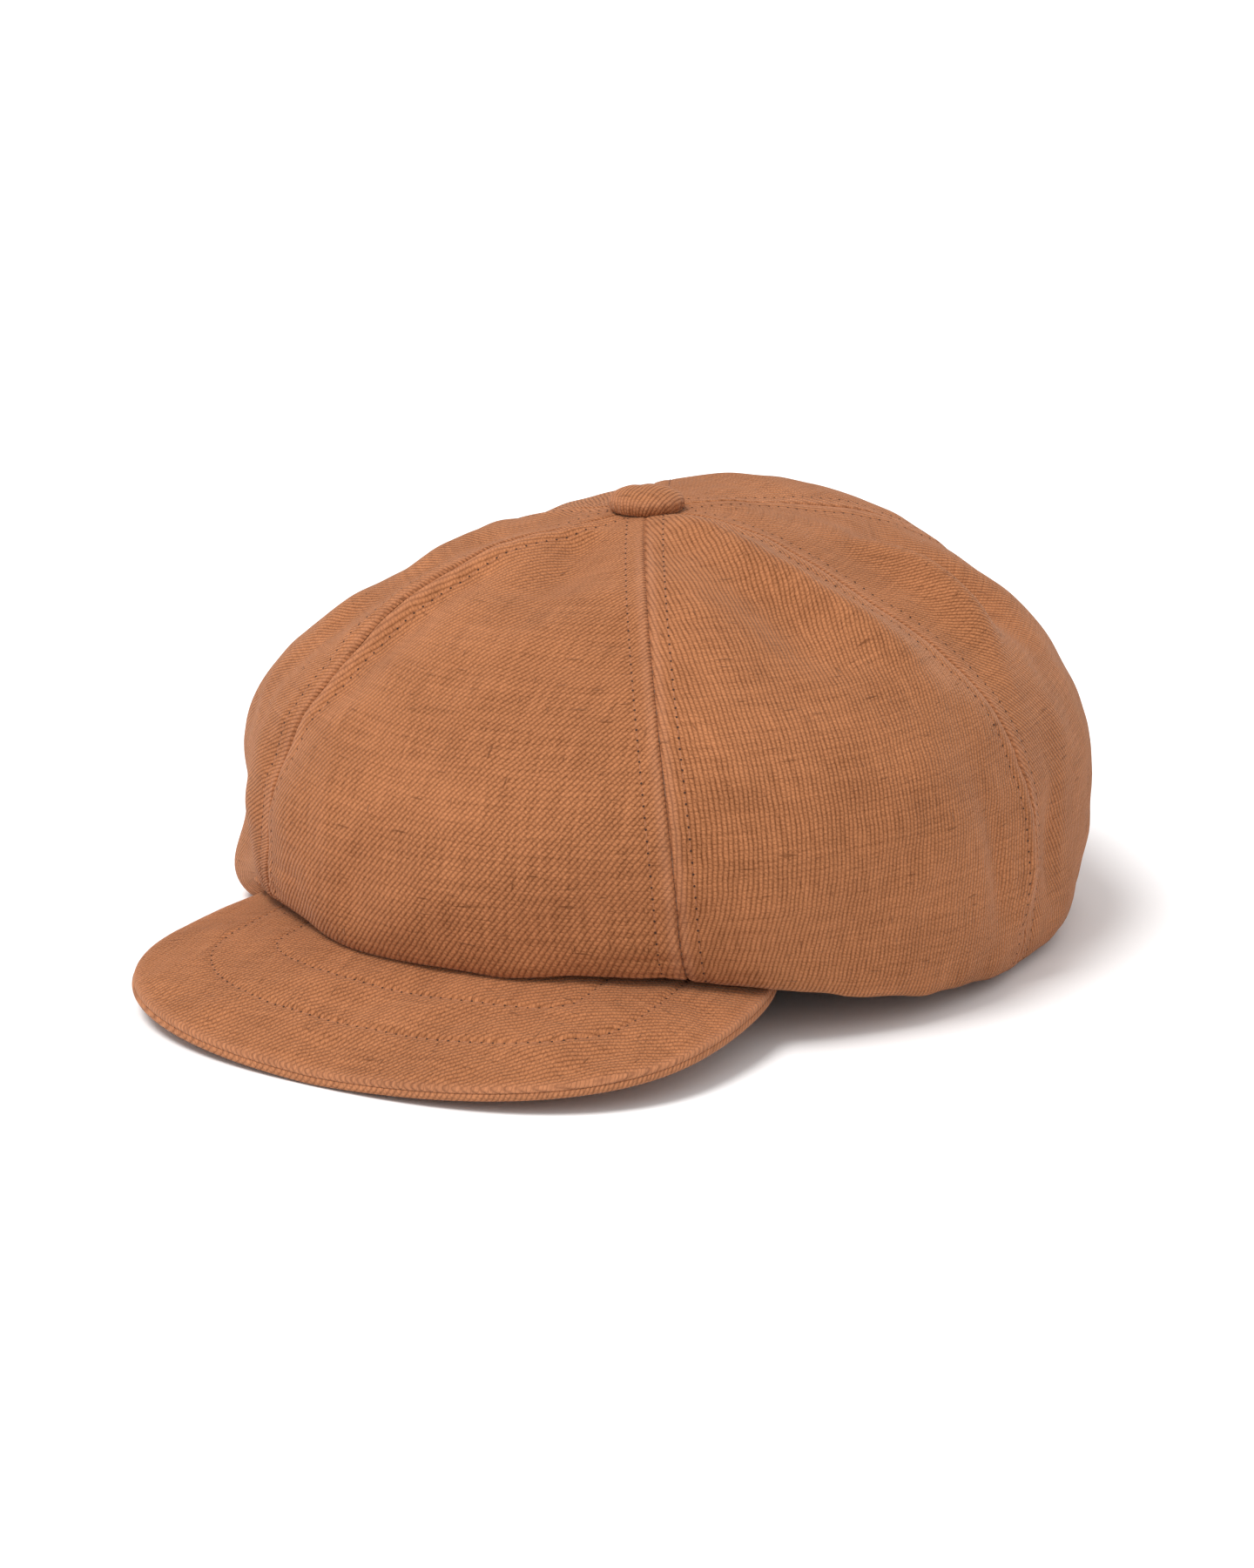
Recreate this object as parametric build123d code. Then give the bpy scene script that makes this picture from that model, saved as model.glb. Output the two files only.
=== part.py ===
from build123d import *
from math import asin, atan2, cos, degrees, pi, radians, sin, sqrt
import os

# Six-panel newsboy cap, millimetres. +Z up, the brim points to -Y, the wearer's left is +X.
# The cap stands as on a table: on the tip of its brim and on the back of its headband.

# Cloth and stiffeners
cloth = 1.2                 # twill of the crown panels
brim_cloth = 1.0            # twill over and under the brim board
board = 1.6                 # brim board
stiffener = 1.2             # buckram inside the headband
band_cloth = 1.0            # twill on the outside of the headband
sweat_cloth = 0.8           # cotton sweatband
tape_thick = 0.5            # bias tape behind each crown seam
lie_gap = 0.1               # between two layers that lie on each other
seat_gap = 0.4              # between a curved panel and what it comes down to
tape_gap = 0.9              # between a crown panel and the tape behind its seam

# Head opening and headband
opening_half_width = 83.5
opening_half_length = 100.5
band_centre = -3.0          # of the opening, along Y from the button
band_height = 32.0
band_tilt = 0.085           # rise of the band's lower edge per millimetre towards the brim
stiffener_inset = 1.5       # of the buckram from both edges of the band

# Crown
crown_half_width = 124.0
crown_front = 120.0
crown_back = 152.0
crown_top = 129.5
puff = 3.5                  # how far each panel stands out between its seams
belly_front = 38.5          # height of the widest line, at the front and at the back
belly_back = 57.0
fold_front = 21.6           # height of the lowest fold, at the front and at the back
fold_back = 1.5
fold_over_brim = 2.2        # how much the fold rises where the brim's corners pass under it
fold_reach = 0.78           # share of the overhang at which the fold is lowest
crown_shoulder = 1.85        # exponents of the dome and of the fold under it
crown_rise = 1.0
fold_round = 2.7
seam_lift = 6.8             # of the crown's sewn edge above the band's lower edge
panel_count = 6
eyelet = 2.6                # radius that the panel tips leave round the button's shank
panel_steps = 6             # slices that a panel is lofted through, and points along a slice
dome_steps = 9
fold_steps = 6
hem_steps = 6

# Seam tapes
tape_width = 12.0
tape_start = 17.0           # radius at which the tapes begin, beyond the stay disc
tape_end_share = 0.92

# Brim
brim_seam_sweep = 57.0      # half angle of the arc along which the brim is sewn to the band
brim_side = 21.2            # from the end of that arc out to the brim's widest point
brim_corner = 52.0          # and forward to it
brim_depth = 63.0           # from the widest line on to the tip
brim_tail = 5.0             # width of the brim at its ends
brim_square = 2.4           # exponent of the outline in front, 2 is an ellipse
brim_front_share = 0.6      # share of the sewn arc whose slices end on the outline in front
brim_lift_shape = 1.05      # how late the outer edge rises from the tip to the ends
brim_seam_lift = 3.8        # of the brim's middle layer above the band's lower edge
brim_steps = 20

# Button
button_radius = 11.0
button_height = 7.5
button_cloth = 0.9
button_metal = 0.5
back_plate_thick = 0.8
hem_inset = 2.0             # how far the cover turns in under the button
shank_wire = 0.6            # radius of the wire
shank_half_width = 1.3
shank_drop = 5.0
stay_radius = 15.0
stay_thick = 0.8
tie_radius = 0.6
tie_length = 9.0

band_total = sweat_cloth + stiffener + band_cloth + 2 * lie_gap
band_back = band_centre + opening_half_length + band_total
brim_total = board + 2 * brim_cloth + 2 * lie_gap


def band_low(y):
    return band_tilt * (band_back - y)


def place(theta, r, z):
    """A point at an angle from the front, towards the wearer's left."""
    return Vector(r * sin(theta), -r * cos(theta), z)


def egg_radius(theta, half_width, front, back):
    length = front if cos(theta) > 0 else back
    return 1 / sqrt((sin(theta) / half_width) ** 2 + (cos(theta) / length) ** 2)


def band_radius(theta, grow):
    """Distance from the button's axis to the band's oval, which is set off along Y."""
    a = opening_half_width + grow
    b = opening_half_length + grow
    qa = (sin(theta) / a) ** 2 + (cos(theta) / b) ** 2
    qb = 2 * cos(theta) * band_centre / b**2
    qc = (band_centre / b) ** 2 - 1
    return (-qb + sqrt(qb**2 - 4 * qa * qc)) / (2 * qa)


# Crown profile: u from 0 at the eyelet to 1 at the widest line, 2 at the fold and 3 at the band
def crown_point(theta, u):
    back = (1 - cos(theta)) / 2
    belly_z = belly_front + (belly_back - belly_front) * back
    fold_z = fold_front + (fold_back - fold_front) * back
    if cos(theta) > 0:
        fold_z += fold_over_brim * sin(2 * theta) ** 2
    belly = egg_radius(theta, crown_half_width, crown_front, crown_back)
    belly += puff * abs(cos(panel_count / 2 * theta))
    foot = band_radius(theta, band_total + seat_gap)
    fold = foot + fold_reach * (belly - foot)
    foot_z = band_low(-foot * cos(theta)) + seam_lift
    if u <= 1:
        turn = u * pi / 2
        r = eyelet + (belly - eyelet) * sin(turn) ** (2 / crown_shoulder)
        z = belly_z + (crown_top - belly_z) * cos(turn) ** crown_rise
    elif u <= 2:
        turn = (u - 1) * pi / 2
        r = fold + (belly - fold) * cos(turn) ** (2 / fold_round)
        z = belly_z - (belly_z - fold_z) * sin(turn) ** (2 / fold_round)
    else:
        share = u - 2
        r = fold + (foot - fold) * share
        z = fold_z + (foot_z - fold_z) * share**2
    return r, z


def crown_inside(theta, u, depth):
    """The point that lies a depth inside the crown's outer surface."""
    step = 0.004
    r0, z0 = crown_point(theta, max(u - step, 0.001))
    r1, z1 = crown_point(theta, min(u + step, 3))
    length = sqrt((r1 - r0) ** 2 + (z1 - z0) ** 2)
    r, z = crown_point(theta, u)
    return r + depth * (z1 - z0) / length, z - depth * (r1 - r0) / length


crown_stops = [max(k / dome_steps, 0.001) for k in range(dome_steps + 1)]
crown_stops += [1 + (k + 1) / fold_steps for k in range(fold_steps)]
crown_stops += [2 + (k + 1) / hem_steps for k in range(hem_steps)]


def shell_section(theta, outer_depth, inner_depth, stops):
    """A slice of a cloth layer of the crown, in the plane through the button's axis."""
    outer = [place(theta, *crown_inside(theta, u, outer_depth)) for u in stops]
    inner = [place(theta, *crown_inside(theta, u, inner_depth)) for u in stops]
    outer_edge = Edge.make_spline(outer)
    inner_edge = Edge.make_spline(inner)
    top_edge = Edge.make_line(outer[0], inner[0])
    end_edge = Edge.make_line(outer[-1], inner[-1])
    return Wire([outer_edge, end_edge, inner_edge, top_edge])


def crown_layer(start, sweep, steps, outer_depth, inner_depth, stops):
    sections = []
    for i in range(steps + 1):
        theta = radians(start + sweep * i / steps)
        sections.append(shell_section(theta, outer_depth, inner_depth, stops))
    return Solid.make_loft(sections)


def crown_panel(middle):
    sweep = 360 / panel_count
    return crown_layer(middle - sweep / 2, sweep, panel_steps, 0, cloth, crown_stops)


def seam_tape(angle):
    """A strip of even width that follows one seam down the inside of the crown."""
    theta = radians(angle)
    first = 0.05
    while crown_point(theta, first)[0] < tape_start:
        first += 0.005
    last = 3 * tape_end_share
    stops = [first] + [u for u in crown_stops if first + 0.05 < u < last - 0.05] + [last]
    sections = []
    for u in stops:
        half_turn = asin(tape_width / 2 / crown_point(theta, u)[0])
        middle = place(theta, *crown_point(theta, u))
        along = place(theta, *crown_point(theta, u + 0.01)) - middle
        along = along.normalized()
        corners = []
        for depth, turns in ((cloth + tape_gap, (-1, 0, 1)), (cloth + tape_gap + tape_thick, (1, 0, -1))):
            for turn in turns:
                angle_here = theta + turn * half_turn
                corner = place(angle_here, *crown_inside(angle_here, u, depth))
                corners.append(corner - along * (corner - middle).dot(along))
        sections.append(Wire.make_polygon(corners, close=True))
    return Solid.make_loft(sections)


def band_ring(grow, thick, inset):
    """One layer of the headband, cut off square to the tilt at both edges."""
    outer = Ellipse(opening_half_width + grow + thick, opening_half_length + grow + thick)
    inner = Ellipse(opening_half_width + grow, opening_half_length + grow)
    tall = 3 * band_height
    ring = Pos(0, band_centre, -band_height) * extrude(outer - inner, tall)
    lean = degrees(atan2(-band_tilt, 1))
    size = 6 * opening_half_length
    slab = Pos(0, 0, band_height / 2) * Box(size, size, band_height - 2 * inset)
    return ring & (Pos(0, band_back, 0) * Rot(lean, 0, 0) * slab)


def brim_seam_point(u):
    seam = radians(brim_seam_sweep * u)
    a = opening_half_width + band_total + lie_gap
    b = opening_half_length + band_total + lie_gap
    x = a * sin(seam)
    y = band_centre - b * cos(seam)
    return Vector(x, y, band_low(y) + brim_seam_lift)


# Brim: u from -1 at the wearer's right end to 1 at the left end
def brim_ends(u):
    """Where one slice of the brim starts at the band and ends at the outer edge."""
    end = brim_seam_point(1)
    widest_x = end.X + brim_side
    widest_y = end.Y - brim_corner
    share = abs(u)
    if share <= brim_front_share:
        turn = share / brim_front_share * pi / 2
        side = widest_x * sin(turn) ** (2 / brim_square)
        y = widest_y - brim_depth * max(cos(turn), 0) ** (2 / brim_square)
    else:
        turn = (share - brim_front_share) / (1 - brim_front_share) * pi / 2
        tail_x = end.X + brim_tail
        side = tail_x + (widest_x - tail_x) * cos(turn)
        y = widest_y + (end.Y - widest_y) * sin(turn)
    tip_z = brim_total / 2
    z = tip_z + (end.Z - tip_z) * share**brim_lift_shape
    return brim_seam_point(u), Vector(side if u >= 0 else -side, y, z)


# From the button's axis to the middle of the cap's length
to_centre = (-brim_ends(0)[1].Y - crown_back - puff) / 2


def brim_layer(corners):
    """A layer of the brim: corners are (inset from the outer edge, height) pairs, and a
    None inset lies at the band."""
    sections = []
    for i in range(brim_steps + 1):
        inner, outer = brim_ends(2 * i / brim_steps - 1)
        inward = (inner - outer).normalized()
        points = []
        for inset, height in corners:
            base = inner if inset is None else outer + inward * inset
            points.append(base + Vector(0, 0, height))
        sections.append(Wire.make_polygon(points, close=True))
    return Solid.make_loft(sections)


def export_node(name, shape):
    """The button's axis is moved off the origin, so that the origin is under the cap's middle."""
    shape = Pos(0, to_centre, 0) * shape
    shape.label = name
    export_step(shape, f"parts/{name}.step")


os.makedirs("parts", exist_ok=True)

# Crown panels and the tapes behind their seams
panel_places = {
    "front": 0,
    "left_front": 60,
    "left_back": 120,
    "back": 180,
    "right_back": 240,
    "right_front": 300,
}
for name, middle in panel_places.items():
    export_node(f"crown_panel_{name}", crown_panel(middle))

tape_places = {
    "front_left": 30,
    "left": 90,
    "back_left": 150,
    "back_right": 210,
    "right": 270,
    "front_right": 330,
}
for name, angle in tape_places.items():
    export_node(f"seam_tape_{name}", seam_tape(angle))

# Headband, from the head outwards
export_node("sweatband", band_ring(0, sweat_cloth, 0))
export_node("headband_stiffener", band_ring(sweat_cloth + lie_gap, stiffener, stiffener_inset))
band_cloth_start = sweat_cloth + stiffener + 2 * lie_gap
export_node("headband_cloth", band_ring(band_cloth_start, band_cloth, 0))

# Brim: the upper cloth turns down over the edge of the board
board_half = board / 2
cover_low = board_half + lie_gap
cover_high = cover_low + brim_cloth
edge_inset = brim_cloth + lie_gap
upper_corners = [
    (None, cover_low),
    (None, cover_high),
    (0, cover_high),
    (0, -cover_high),
    (brim_cloth, -cover_high),
    (brim_cloth, cover_low),
]
board_corners = [
    (None, -board_half),
    (None, board_half),
    (edge_inset, board_half),
    (edge_inset, -board_half),
]
lower_corners = [
    (None, -cover_high),
    (None, -cover_low),
    (edge_inset, -cover_low),
    (edge_inset, -cover_high),
]
export_node("brim_upper_cloth", brim_layer(upper_corners))
export_node("brim_board", brim_layer(board_corners))
export_node("brim_lower_cloth", brim_layer(lower_corners))

# Button on the top of the crown
button_base = crown_top + seat_gap


def button_dome(radius, height, floor):
    """A flattened dome with an upright rim, standing on a flat floor."""
    rim = height / 3
    shoulder = Vector(radius * sin(pi / 4), 0, rim + (height - rim) * cos(pi / 4))
    over = Edge.make_spline(
        [Vector(radius, 0, rim), shoulder, Vector(0, 0, height)],
        tangents=[Vector(0, 0, 1), Vector(-1, 0, 0)],
    )
    outline = Wire(
        [
            over,
            Edge.make_line((0, 0, height), (0, 0, floor)),
            Edge.make_line((0, 0, floor), (radius, 0, floor)),
            Edge.make_line((radius, 0, floor), (radius, 0, rim)),
        ]
    )
    face = Face(outline)
    return Pos(0, 0, button_base) * revolve(face, Axis.Z)


cover_outer = button_dome(button_radius, button_height, 0)
cover_radius = button_radius - button_cloth
cover_inner = button_dome(cover_radius, button_height - button_cloth, button_cloth)
hem_opening = Pos(0, 0, button_base) * Cylinder(cover_radius - hem_inset, 4 * button_cloth)
export_node("button_cover", cover_outer - cover_inner - hem_opening)

shell_radius = cover_radius - lie_gap
shell_top = button_height - button_cloth - lie_gap
shell_floor = button_cloth + lie_gap
shell_outer = button_dome(shell_radius, shell_top, shell_floor)
metal_radius = shell_radius - button_metal
shell_inner = button_dome(metal_radius, shell_top - button_metal, 0)
export_node("button_shell", shell_outer - shell_inner)

plate_low = button_base + shell_floor
plate = Cylinder(metal_radius - lie_gap, back_plate_thick, align=(Align.CENTER, Align.CENTER, Align.MIN))
export_node("button_back_plate", Pos(0, 0, plate_low) * plate)

# The shank is one bent wire: two legs and a half turn
leg_top = Vector(shank_half_width, 0, plate_low)
leg_low = Vector(shank_half_width, 0, button_base - shank_drop)
turn_low = Vector(0, 0, leg_low.Z - shank_half_width)
shank_path = Wire(
    [
        Edge.make_line(leg_top, leg_low),
        Edge.make_three_point_arc(leg_low, turn_low, Vector(-leg_low.X, 0, leg_low.Z)),
        Edge.make_line(Vector(-leg_low.X, 0, leg_low.Z), Vector(-leg_top.X, 0, leg_top.Z)),
    ]
)
wire_end = Plane(origin=leg_top, z_dir=(0, 0, -1)) * Circle(shank_wire)
export_node("button_shank", sweep(wire_end, path=shank_path))

# Inside the crown: a stay disc under the panel tips, and the thread tie that holds the shank
stay_top = crown_top - cloth - 2 * seat_gap
stay_hole = shank_half_width + shank_wire + lie_gap
stay = Cylinder(stay_radius, stay_thick) - Cylinder(stay_hole, 2 * stay_thick)
export_node("top_stay_disc", Pos(0, 0, stay_top - stay_thick / 2) * stay)

tie_z = stay_top - stay_thick - lie_gap - tie_radius
tie = Rot(90, 0, 0) * Cylinder(tie_radius, tie_length)
export_node("shank_tie", Pos(0, 0, tie_z) * tie)
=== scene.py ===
import bpy
import math
import numpy as np
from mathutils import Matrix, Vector, noise
from mathutils.bvhtree import BVHTree


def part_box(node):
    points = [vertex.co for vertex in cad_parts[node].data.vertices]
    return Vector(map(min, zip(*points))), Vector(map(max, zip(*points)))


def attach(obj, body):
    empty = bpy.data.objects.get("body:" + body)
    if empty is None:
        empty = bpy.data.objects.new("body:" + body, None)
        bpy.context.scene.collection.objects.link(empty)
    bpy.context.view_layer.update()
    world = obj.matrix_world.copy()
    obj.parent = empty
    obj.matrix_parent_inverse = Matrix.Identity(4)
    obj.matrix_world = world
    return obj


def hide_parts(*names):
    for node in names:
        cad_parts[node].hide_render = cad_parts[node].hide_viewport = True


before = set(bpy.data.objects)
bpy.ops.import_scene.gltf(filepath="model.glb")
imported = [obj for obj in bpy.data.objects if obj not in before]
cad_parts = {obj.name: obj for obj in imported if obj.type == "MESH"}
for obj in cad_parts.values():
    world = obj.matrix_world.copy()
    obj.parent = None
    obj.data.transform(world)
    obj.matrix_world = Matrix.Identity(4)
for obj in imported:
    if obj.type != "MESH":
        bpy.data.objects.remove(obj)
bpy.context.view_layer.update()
mm = 0.001

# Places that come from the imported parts
buttonLow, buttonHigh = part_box("button_cover")
bandLow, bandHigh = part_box("sweatband")
bandOutLow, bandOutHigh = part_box("headband_cloth")
axisY = (buttonLow.y + buttonHigh.y) / 2      # the crown turns about the button's axis
bandCentreY = (bandLow.y + bandHigh.y) / 2
print("frame loaded")


def feed(tree, socket, value):
    if isinstance(value, Wire):
        tree.links.new(value.out, socket)
    else:
        socket.default_value = value


def mathNode(tree, kind, *values):
    made = tree.nodes.new("ShaderNodeMath")
    made.operation = kind
    for socket, value in zip(made.inputs, values):
        feed(tree, socket, value)
    return Wire(tree, made.outputs[0])


class Wire:
    def __init__(self, tree, out):
        self.tree = tree
        self.out = out

    def __add__(self, other):
        return mathNode(self.tree, "ADD", self, other)

    def __radd__(self, other):
        return mathNode(self.tree, "ADD", other, self)

    def __sub__(self, other):
        return mathNode(self.tree, "SUBTRACT", self, other)

    def __rsub__(self, other):
        return mathNode(self.tree, "SUBTRACT", other, self)

    def __mul__(self, other):
        return mathNode(self.tree, "MULTIPLY", self, other)

    def __rmul__(self, other):
        return mathNode(self.tree, "MULTIPLY", other, self)

    def __truediv__(self, other):
        return mathNode(self.tree, "DIVIDE", self, other)

    def __rtruediv__(self, other):
        return mathNode(self.tree, "DIVIDE", other, self)


class Finish:
    def __init__(self, name):
        self.material = bpy.data.materials.new(name)
        self.material.use_nodes = True
        self.tree = self.material.node_tree
        self.tree.nodes.clear()
        self.shader = self.node("BsdfPrincipled")
        output = self.node("OutputMaterial")
        self.tree.links.new(self.shader.outputs[0], output.inputs[0])

    def node(self, kind, settings=None, places=None, **inputs):
        # places holds the sockets that share a name, by number
        made = self.tree.nodes.new("ShaderNode" + kind)
        for name, value in (settings or {}).items():
            setattr(made, name, value)
        for number, value in (places or {}).items():
            feed(self.tree, made.inputs[number], value)
        for name, value in inputs.items():
            feed(self.tree, made.inputs[name.replace("_", " ")], value)
        return made

    def out(self, kind, output, settings=None, places=None, **inputs):
        return Wire(self.tree, self.node(kind, settings, places, **inputs).outputs[output])

    def mix(self, share, first, second):
        return self.out("Mix", 2, {"data_type": "RGBA"}, {0: share, 6: first, 7: second})

    def scaled(self, vector, x, y, z):
        return self.out("VectorMath", 0, {"operation": "MULTIPLY"}, {0: vector, 1: (x, y, z)})

    def noise(self, vector, scale, detail=2.0):
        return self.out("TexNoise", "Fac", Vector=vector, Scale=scale, Detail=detail)

    def clamp(self, value):
        return self.out("Clamp", 0, Value=value)

    def bump(self, strength, distance, height):
        return self.out("Bump", "Normal", Strength=strength, Distance=distance, Height=height)

    def whole(self, value):
        return self.out("Math", 0, {"operation": "FLOOR"}, {0: value})

    def wave(self, value):
        return self.out("Math", 0, {"operation": "FRACT"}, {0: value})

    def set(self, **values):
        for name, value in values.items():
            feed(self.tree, self.shader.inputs[name.replace("_", " ")], value)


def colour(r, g, b):
    return (r, g, b, 1.0)


# The twill is drawn on the flat cloth. "rib" holds millimetres across and along the ribs,
# "grain" millimetres across and along the cut, and the float attribute how much painted highlight a place
# takes on seam ridges and edges.
twillLook = {
    "pitch": 1.30,            # mm from rib to rib
    "floatLength": 1.15,      # mm that a yarn shows before it dives
    "light": (0.560, 0.222, 0.094),
    "dark": (0.150, 0.048, 0.015),
    # colour of the painted highlight on seam ridges and edges
    "highlightTint": (0.56, 0.26, 0.15),
    "bump": 0.34 * mm,
}


def twill(name, look, tone=1.0):
    f = Finish(name)
    rib = f.out("Attribute", "Vector", {"attribute_name": "rib"})
    grain = f.out("Attribute", "Vector", {"attribute_name": "grain"})
    ridgeHighlight = f.out("Attribute", "Fac", {"attribute_name": "ridgeHighlight"})
    parts = f.node("SeparateXYZ", Vector=rib)
    across = Wire(f.tree, parts.outputs[0])
    along = Wire(f.tree, parts.outputs[1])
    wander = f.noise(f.scaled(grain, 0.12, 0.12, 1.0), 1.0, 3.0)
    ribs = across / look["pitch"] + (wander - 0.5) * 0.9
    ribCell = f.whole(ribs)
    ribPlace = f.wave(ribs) * 2.0 - 1.0
    ribRound = 1.0 - ribPlace * ribPlace
    jitter = f.noise(f.scaled(grain, 0.55, 0.55, 1.0), 1.0, 1.0)
    stagger = f.out("TexWhiteNoise", "Value", {"noise_dimensions": "1D"}, W=ribCell)
    yarn = along / look["floatLength"] + stagger * 0.30 + ribCell * 0.5 + jitter * 1.1
    yarnPlace = f.wave(yarn) * 2.0 - 1.0
    yarnRound = 1.0 - yarnPlace * yarnPlace * yarnPlace * yarnPlace
    height = ribRound * (yarnRound * 0.54 + 0.46)
    # linen slubs run both ways of the cloth, and the dye is a little uneven
    warpSlub = f.noise(f.scaled(grain, 1.1, 0.06, 1.0), 1.0, 2.0)
    weftSlub = f.noise(f.scaled(grain, 0.05, 1.1, 1.0), 1.0, 2.0)
    fleck = f.noise(f.scaled(grain, 2.4, 2.4, 1.0), 1.0, 3.0)
    broad = f.noise(f.scaled(grain, 0.035, 0.035, 1.0), 1.0, 2.0)
    # the rib and yarn height paints highlight on the yarn tops and shade in the grooves; the slubs, flecks
    # and broad patches are the yarn's own uneven dye
    weaveLightAndDye = height * 0.55 + warpSlub * 0.55 + weftSlub * 0.50 + fleck * 0.85 + broad * 0.34 - 0.98
    light = colour(*(c * tone for c in look["light"]))
    dark = colour(*(c * tone for c in look["dark"]))
    body = f.mix(f.clamp(weaveLightAndDye), dark, light)
    # here and there a thick flax end is spun in, and it has taken more dye
    weftEnd = f.noise(f.scaled(grain, 0.11, 0.80, 1.0), 1.0, 1.0)
    warpEnd = f.noise(f.scaled(grain, 0.80, 0.13, 1.0), 1.0, 1.0)
    weftShare = f.clamp((weftEnd - 0.705) * 14.0)
    warpShare = f.clamp((warpEnd - 0.715) * 14.0)
    ends = f.clamp(weftShare + warpShare)
    body = f.mix(ends * 0.62, body, dark)
    # painted highlight: seam ridges, brim edges and the button's rim are mixed towards a pale pink-tan
    body = f.mix(f.clamp(ridgeHighlight), body, colour(*look["highlightTint"]))
    slubRise = warpSlub * warpSlub * 0.5 + weftSlub * weftSlub * 0.35
    relief = height + slubRise + fleck * 0.35 + ends * 0.8
    normal = f.bump(0.75, look["bump"], relief)
    f.set(Base_Color=body, Roughness=0.92, Normal=normal)
    f.set(Sheen_Weight=0.22, Sheen_Roughness=0.35, Sheen_Tint=colour(1.0, 0.72, 0.55))
    f.set(Specular_IOR_Level=0.15)
    return f.material


def plainWeave(name, base, pitch, sheen=0.15):
    f = Finish(name)
    grain = f.out("Attribute", "Vector", {"attribute_name": "grain"})
    parts = f.node("SeparateXYZ", Vector=grain)
    x = f.wave(Wire(f.tree, parts.outputs[0]) / pitch) * 2.0 - 1.0
    y = f.wave(Wire(f.tree, parts.outputs[1]) / pitch) * 2.0 - 1.0
    weave = (1.0 - x * x) * (1.0 - y * y)
    cloudy = f.noise(f.scaled(grain, 0.08, 0.08, 1.0), 1.0, 3.0)
    share = f.clamp(weave * 0.5 + cloudy * 0.6)
    dark = colour(*(c * 0.55 for c in base))
    light = colour(*(min(c * 1.35, 1.0) for c in base))
    normal = f.bump(0.6, 0.12 * mm, weave)
    f.set(Base_Color=f.mix(share, dark, light), Roughness=0.88, Normal=normal)
    f.set(Sheen_Weight=sheen, Specular_IOR_Level=0.2)
    return f.material


def threadLook(name, base):
    f = Finish(name)
    place = f.out("TexCoord", "Object")
    twist = f.noise(place, 2600.0, 2.0)
    dark = colour(*(c * 0.6 for c in base))
    normal = f.bump(0.5, 0.08 * mm, twist)
    f.set(Base_Color=f.mix(twist, dark, colour(*base)), Roughness=0.7, Normal=normal)
    f.set(Sheen_Weight=0.1)
    return f.material


def smoothSolid(name, base, roughness, metallic, grainSize, bump):
    f = Finish(name)
    place = f.out("TexCoord", "Object")
    grain = f.noise(place, 1.0 / grainSize, 3.0)
    dark = colour(*(c * 0.8 for c in base))
    rough = grain * 0.2 + (roughness - 0.1)
    normal = f.bump(0.4, bump, grain)
    f.set(Base_Color=f.mix(grain, dark, colour(*base)), Roughness=rough, Normal=normal)
    f.set(Metallic=metallic)
    return f.material


twillCloth = twill("camelTwill", twillLook)
# the brim's copy of the same twill, 3 % darker: painted shade on the brim
shadedBrimTwill = twill("shadedBrimTwill", twillLook, 0.97)
navyCotton = plainWeave("navyCotton", (0.022, 0.023, 0.036), 0.55)
navyTape = plainWeave("navyTape", (0.026, 0.027, 0.042), 0.45)
camelThread = threadLook("camelThread", (0.46, 0.175, 0.075))
# near-black discs paint the shade inside each needle hole
needleHoleShade = smoothSolid("needleHoleShadeDisc", (0.050, 0.016, 0.007), 0.9, 0.0, 0.4 * mm, 0.02 * mm)
navyThread = threadLook("navyThread", (0.04, 0.042, 0.06))
print("materials made")


def newPiece(name, verts, faces, material, smooth=True):
    mesh = bpy.data.meshes.new(name)
    mesh.from_pydata([tuple(v) for v in verts], [], faces)
    mesh.validate()
    if smooth:
        mesh.shade_smooth()
    piece = bpy.data.objects.new(name, mesh)
    bpy.context.scene.collection.objects.link(piece)
    mesh.materials.append(material)
    return piece


def gridFaces(rows, cols, closed=False):
    faces = []
    for i in range(rows - 1):
        for j in range(cols if closed else cols - 1):
            k = (j + 1) % cols
            faces.append((i * cols + j, i * cols + k, (i + 1) * cols + k, (i + 1) * cols + j))
    return faces


def writeVectors(piece, name, values):
    made = piece.data.attributes.new(name, "FLOAT_VECTOR", "POINT")
    made.data.foreach_set("vector", np.ascontiguousarray(values, np.float32).ravel())


def writeNumbers(piece, name, values):
    made = piece.data.attributes.new(name, "FLOAT", "POINT")
    made.data.foreach_set("value", np.ascontiguousarray(values, np.float32).ravel())


def writeCloth(piece, across, along, ribAngle, ridgeHighlight, seed):
    # across and along are metres on the flat cloth, and the ribs lean ribAngle from level
    x = np.ravel(across) / mm
    y = np.ravel(along) / mm
    lean = math.radians(ribAngle)
    ribAcross = -x * math.sin(lean) + y * math.cos(lean)
    ribAlong = x * math.cos(lean) + y * math.sin(lean)
    seeds = np.full(x.shape, float(seed))
    writeVectors(piece, "rib", np.stack([ribAcross, ribAlong, seeds], 1))
    writeVectors(piece, "grain", np.stack([x + 37.0 * seed, y - 23.0 * seed, seeds], 1))
    writeNumbers(piece, "ridgeHighlight", np.ravel(ridgeHighlight))


def thicken(piece, thickness):
    made = piece.modifiers.new("thickness", "SOLIDIFY")
    made.thickness = thickness
    made.offset = -1.0
    made.use_even_offset = False
    made.use_quality_normals = True


def finishPiece(piece, slot, *nodes):
    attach(piece, "root")
    if nodes:
        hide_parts(*nodes)


def declareSheet(piece, width, length, held, restsOn):
    area = sum(p.area for p in piece.data.polygons)
    min(area, width * length)
    print("sheet", piece.name, round(width, 4), round(length, 4), "area", round(area, 5))


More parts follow.
